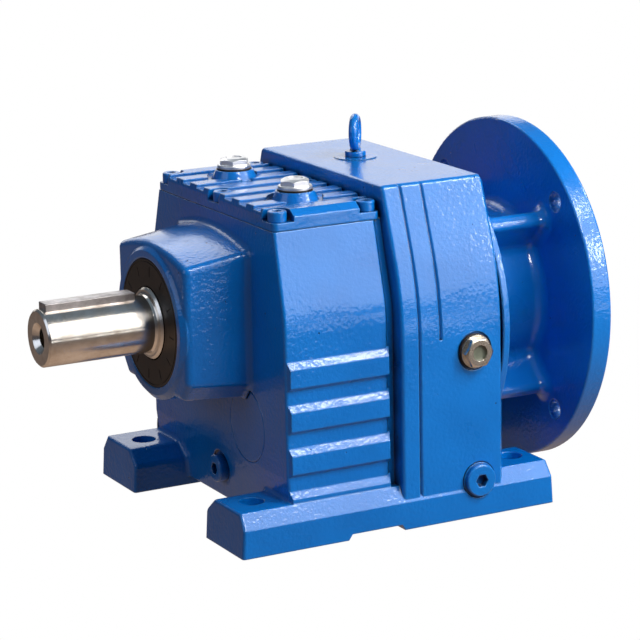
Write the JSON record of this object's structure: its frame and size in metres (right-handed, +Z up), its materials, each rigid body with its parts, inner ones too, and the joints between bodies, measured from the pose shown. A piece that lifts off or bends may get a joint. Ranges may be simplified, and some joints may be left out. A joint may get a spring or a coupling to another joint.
{
  "type": "industrial gearbox",
  "caption": "Foot-mounted helical gear reducer: keyed solid output shaft, round motor flange with hollow input bore, ribbed cover, oil plugs and lifting eye.",
  "frame": {"origin": "centre of the four foot-bolt holes, on the mounting plane under the feet", "axes": "+Z up from the mounting plane, +X from the output shaft end to the motor flange, along all three shafts; +Y completes a right-handed frame"},
  "size_m": [0.3798, 0.25, 0.2666],
  "materials": {
    "blue_paint": "glossy mid-blue enamel over cast iron, with light orange peel",
    "polished_steel": "ground and polished shaft steel",
    "key_steel": "drawn key steel, lightly brushed",
    "machined_steel": "turned steel",
    "gear_steel": "case-hardened and ground teeth",
    "bearing_steel": "superfinished bearing steel",
    "plated_steel": "bright zinc plate",
    "nickel_plated_brass": "worn nickel plate over brass",
    "window_glass": "clear window over dark oil",
    "seal_rubber": "dark brown-black moulded rubber",
    "gasket_sheet": "compressed fibre sheet",
    "black_steel": "black-oxide screw steel"
  },
  "bodies": {
    "housing": {"adapter_bolts": "black_steel", "adapter_circlip": "machined_steel", "adapter_gasket": "gasket_sheet", "bearing_end_cap": "blue_paint", "breather_plug": "plated_steel", "cover_gasket": "blue_paint", "cover_screws": "blue_paint", "drain_plug": "blue_paint", "drain_plug_washer": "blue_paint", "eye_bolt": "blue_paint", "filler_plug": "plated_steel", "front_socket_plug": "blue_paint", "gear_housing": "blue_paint", "input_front_bearing_outer_ring": "bearing_steel", "input_rear_bearing_outer_ring": "bearing_steel", "input_seal": "seal_rubber", "locating_dowels": "machined_steel", "middle_front_bearing_outer_ring": "bearing_steel", "middle_rear_bearing_outer_ring": "bearing_steel", "motor_adapter": "blue_paint", "output_front_bearing_outer_ring": "bearing_steel", "output_rear_bearing_outer_ring": "bearing_steel", "output_seal": "seal_rubber", "plug_washers": "seal_rubber", "sight_glass_body": "nickel_plated_brass", "sight_glass_lens": "window_glass", "sight_glass_washer": "seal_rubber", "top_cover": "blue_paint"},
    "output": {"output_shaft": "polished_steel", "output_shaft_key": "key_steel", "output_gear": "gear_steel", "output_gear_key": "machined_steel", "output_gear_spacer": "machined_steel", "output_front_bearing_inner_ring": "bearing_steel", "output_front_bearing_balls": "bearing_steel", "output_rear_bearing_inner_ring": "bearing_steel", "output_rear_bearing_balls": "bearing_steel"},
    "middle": {"intermediate_pinion_shaft": "gear_steel", "intermediate_gear": "gear_steel", "intermediate_gear_key": "machined_steel", "intermediate_spacer": "machined_steel", "intermediate_circlip": "machined_steel", "middle_front_bearing_inner_ring": "bearing_steel", "middle_front_bearing_balls": "bearing_steel", "middle_rear_bearing_inner_ring": "bearing_steel", "middle_rear_bearing_balls": "bearing_steel"},
    "input": {"input_shaft": "polished_steel", "input_pinion": "gear_steel", "input_pinion_key": "machined_steel", "input_circlip": "machined_steel", "input_front_bearing_inner_ring": "bearing_steel", "input_front_bearing_balls": "bearing_steel", "input_rear_bearing_inner_ring": "bearing_steel", "input_rear_bearing_balls": "bearing_steel"}
  },
  "joints": [
    {"name": "output_shaft_spin", "type": "hinge", "parent": "housing", "child": "output", "pos_m": [0, 0, 0.14], "axis": [1, 0, 0], "continuous": true},
    {"name": "intermediate_shaft_spin", "type": "hinge", "parent": "housing", "child": "middle", "pos_m": [0, -0.0467, 0.0708], "axis": [1, 0, 0], "continuous": true},
    {"name": "input_shaft_spin", "type": "hinge", "parent": "housing", "child": "input", "pos_m": [0, 0, 0.1303], "axis": [1, 0, 0], "continuous": true}
  ],
  "couplings": [
    {"joint": "intermediate_shaft_spin", "follows": "output_shaft_spin", "ratio": -3.9231},
    {"joint": "input_shaft_spin", "follows": "output_shaft_spin", "ratio": 9.7143}
  ]
}
